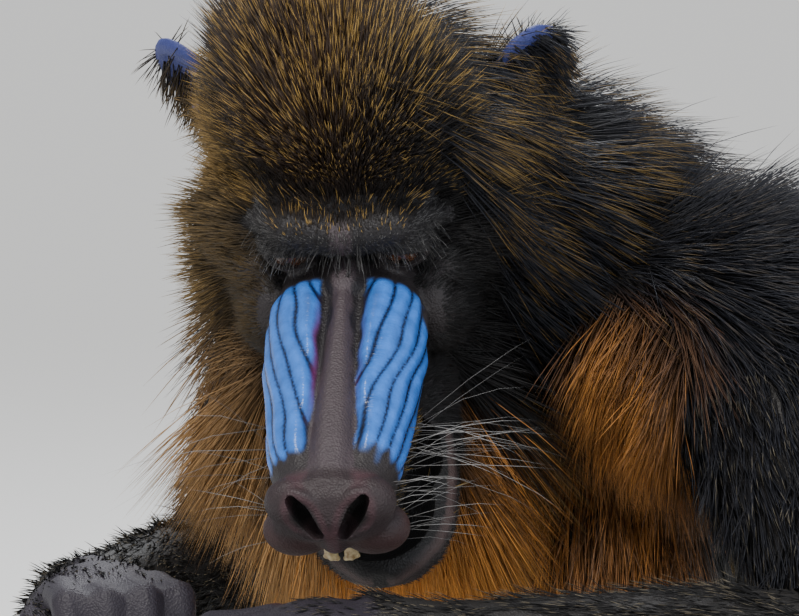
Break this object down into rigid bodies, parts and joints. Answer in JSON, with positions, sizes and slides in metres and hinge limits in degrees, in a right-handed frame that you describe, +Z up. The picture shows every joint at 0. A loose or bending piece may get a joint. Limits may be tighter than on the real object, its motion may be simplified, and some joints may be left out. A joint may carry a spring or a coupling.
{
  "type": "seated mandrill",
  "caption": "Still, life-size male mandrill seated on the floor with bowed head, blue-ridged muzzle and both hands held up before the chest",
  "frame": {"origin": "on the floor plane under the middle of the fused sitting pads, at the seat mount", "axes": "+Z up; the trunk faces -Y; +X is the animal's left; the head is turned to the animal's left and bowed"},
  "size_m": [0.5672, 0.6323, 0.6287],
  "materials": {
    "coat": "dense agouti hair, olive brown to blue black, orange beard",
    "bare_skin": "bare wrinkled skin, dark grey brown with blue ridges on the muzzle",
    "eye": "wet eyeball with a red-brown iris",
    "tooth": "ivory yellow enamel",
    "nail": "dark horn nails"
  },
  "bodies": {
    "root": {"head": "coat", "neck": "coat", "torso": "coat", "hips": "coat", "tail": "coat", "sitting_pads": "bare_skin", "ear_left": "bare_skin", "ear_right": "bare_skin", "eye_left": "eye", "eye_right": "eye", "upper_arm_left": "coat", "upper_arm_right": "coat", "forearm_left": "coat", "forearm_right": "coat", "hand_left": "bare_skin", "hand_right": "bare_skin", "thigh_left": "coat", "thigh_right": "coat", "shin_left": "coat", "shin_right": "coat", "foot_left": "bare_skin", "foot_right": "bare_skin"}
  },
  "joints": []
}
